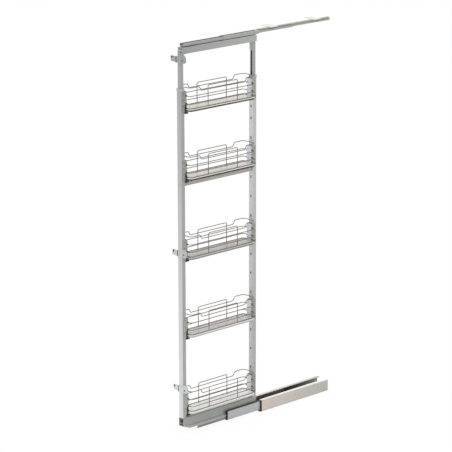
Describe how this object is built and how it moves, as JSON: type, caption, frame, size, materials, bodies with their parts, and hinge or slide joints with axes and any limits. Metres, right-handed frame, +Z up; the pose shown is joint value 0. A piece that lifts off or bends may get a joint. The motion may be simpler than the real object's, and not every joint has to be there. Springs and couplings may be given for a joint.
{
  "type": "pull-out larder unit",
  "caption": "Tall narrow larder frame with wire baskets that pulls out of a kitchen cabinet on a full-extension floor slide and a guide rail under the cabinet's top.",
  "frame": {"origin": "on the cabinet floor, at the underside of the fixed channel, in the middle of its width and at its front end", "axes": "+X to the right seen from the kitchen, +Y into the cabinet, +Z up; drawn fully pulled out"},
  "size_m": [0.1144, 1.012, 1.9855],
  "materials": {
    "zinc_steel": "galvanised sheet and tube, satin",
    "bracket_steel": "pressed sheet, bright zinc",
    "silver_paint": "silver-grey paint, satin",
    "channel_paint": "warm grey coating, satin",
    "chrome_wire": "polished chrome",
    "tray_sheet": "pale coated sheet, gloss at the edge",
    "bright_steel": "bright turned steel",
    "black_plastic": "black moulding",
    "black_screw": "black oxide"
  },
  "bodies": {
    "cabinet": {"cabinet_channel": "channel_paint", "channel_stop": "black_plastic", "channel_guide": "black_plastic"},
    "floor_middle": {"middle_profile": "zinc_steel", "middle_front_cap": "black_plastic"},
    "outer_cage": {"outer_cages": "zinc_steel", "outer_balls": "bright_steel"},
    "inner_cage": {"inner_cages": "zinc_steel", "inner_balls": "bright_steel"},
    "frame": {"pull_out_rail": "zinc_steel", "rail_rivets": "bright_steel", "bottom_beam": "zinc_steel", "front_lower_post": "zinc_steel", "rear_lower_post": "zinc_steel", "post_plugs": "black_plastic", "post_screws": "bright_steel", "cross_bar": "zinc_steel", "cross_bar_screws": "bright_steel", "front_collar": "bracket_steel", "rear_collar": "bracket_steel", "collar_screws": "bright_steel", "door_bracket_bottom": "bracket_steel", "door_bracket_middle": "bracket_steel", "door_bracket_screws": "black_screw", "basket_clips": "black_plastic", "basket_screws": "black_screw", "basket_1_wires": "chrome_wire", "basket_1_tray": "tray_sheet", "basket_1_front_bracket": "bracket_steel", "basket_1_rear_bracket": "bracket_steel", "basket_2_wires": "chrome_wire", "basket_2_tray": "tray_sheet", "basket_2_front_bracket": "bracket_steel", "basket_2_rear_bracket": "bracket_steel", "basket_3_wires": "chrome_wire", "basket_3_tray": "tray_sheet", "basket_3_front_bracket": "bracket_steel", "basket_3_rear_bracket": "bracket_steel", "basket_4_wires": "chrome_wire", "basket_4_tray": "tray_sheet", "basket_4_front_bracket": "bracket_steel", "basket_4_rear_bracket": "bracket_steel", "basket_5_wires": "chrome_wire", "basket_5_tray": "tray_sheet", "basket_5_front_bracket": "bracket_steel", "basket_5_rear_bracket": "bracket_steel"},
    "upper_frame": {"front_upper_post": "zinc_steel", "rear_upper_post": "zinc_steel", "top_beam": "zinc_steel", "front_top_bracket": "bracket_steel", "rear_top_bracket": "bracket_steel", "top_frame_rail": "zinc_steel", "top_rail_spacers": "zinc_steel", "damper_housing": "silver_paint", "damper_end_cap": "silver_paint", "door_bracket_top": "bracket_steel", "top_door_screw": "black_screw"},
    "top_middle": {"top_middle_rail": "zinc_steel"},
    "top_cabinet": {"top_cabinet_rail": "zinc_steel", "top_wings": "bracket_steel"}
  },
  "joints": [
    {"name": "pull_out", "type": "slide", "parent": "cabinet", "child": "frame", "axis": [0, 1, 0], "range_m": [0, 0.5]},
    {"name": "middle_slide", "type": "slide", "parent": "cabinet", "child": "floor_middle", "axis": [0, 1, 0], "range_m": [0, 0.25]},
    {"name": "outer_cage_slide", "type": "slide", "parent": "cabinet", "child": "outer_cage", "axis": [0, 1, 0], "range_m": [0, 0.125]},
    {"name": "inner_cage_slide", "type": "slide", "parent": "cabinet", "child": "inner_cage", "axis": [0, 1, 0], "range_m": [0, 0.375]},
    {"name": "height_adjust", "type": "slide", "parent": "frame", "child": "upper_frame", "axis": [0, 0, 1], "range_m": [-0.05, 0.08]},
    {"name": "top_middle_slide", "type": "slide", "parent": "upper_frame", "child": "top_middle", "axis": [0, 1, 0], "range_m": [-0.25, 0]},
    {"name": "top_cabinet_slide", "type": "slide", "parent": "upper_frame", "child": "top_cabinet", "axis": [0, 1, 0], "range_m": [-0.5, 0]}
  ],
  "couplings": [
    {"joint": "middle_slide", "follows": "pull_out", "ratio": 0.5},
    {"joint": "outer_cage_slide", "follows": "pull_out", "ratio": 0.25},
    {"joint": "inner_cage_slide", "follows": "pull_out", "ratio": 0.75},
    {"joint": "top_middle_slide", "follows": "pull_out", "ratio": -0.5},
    {"joint": "top_cabinet_slide", "follows": "pull_out", "ratio": -1}
  ]
}
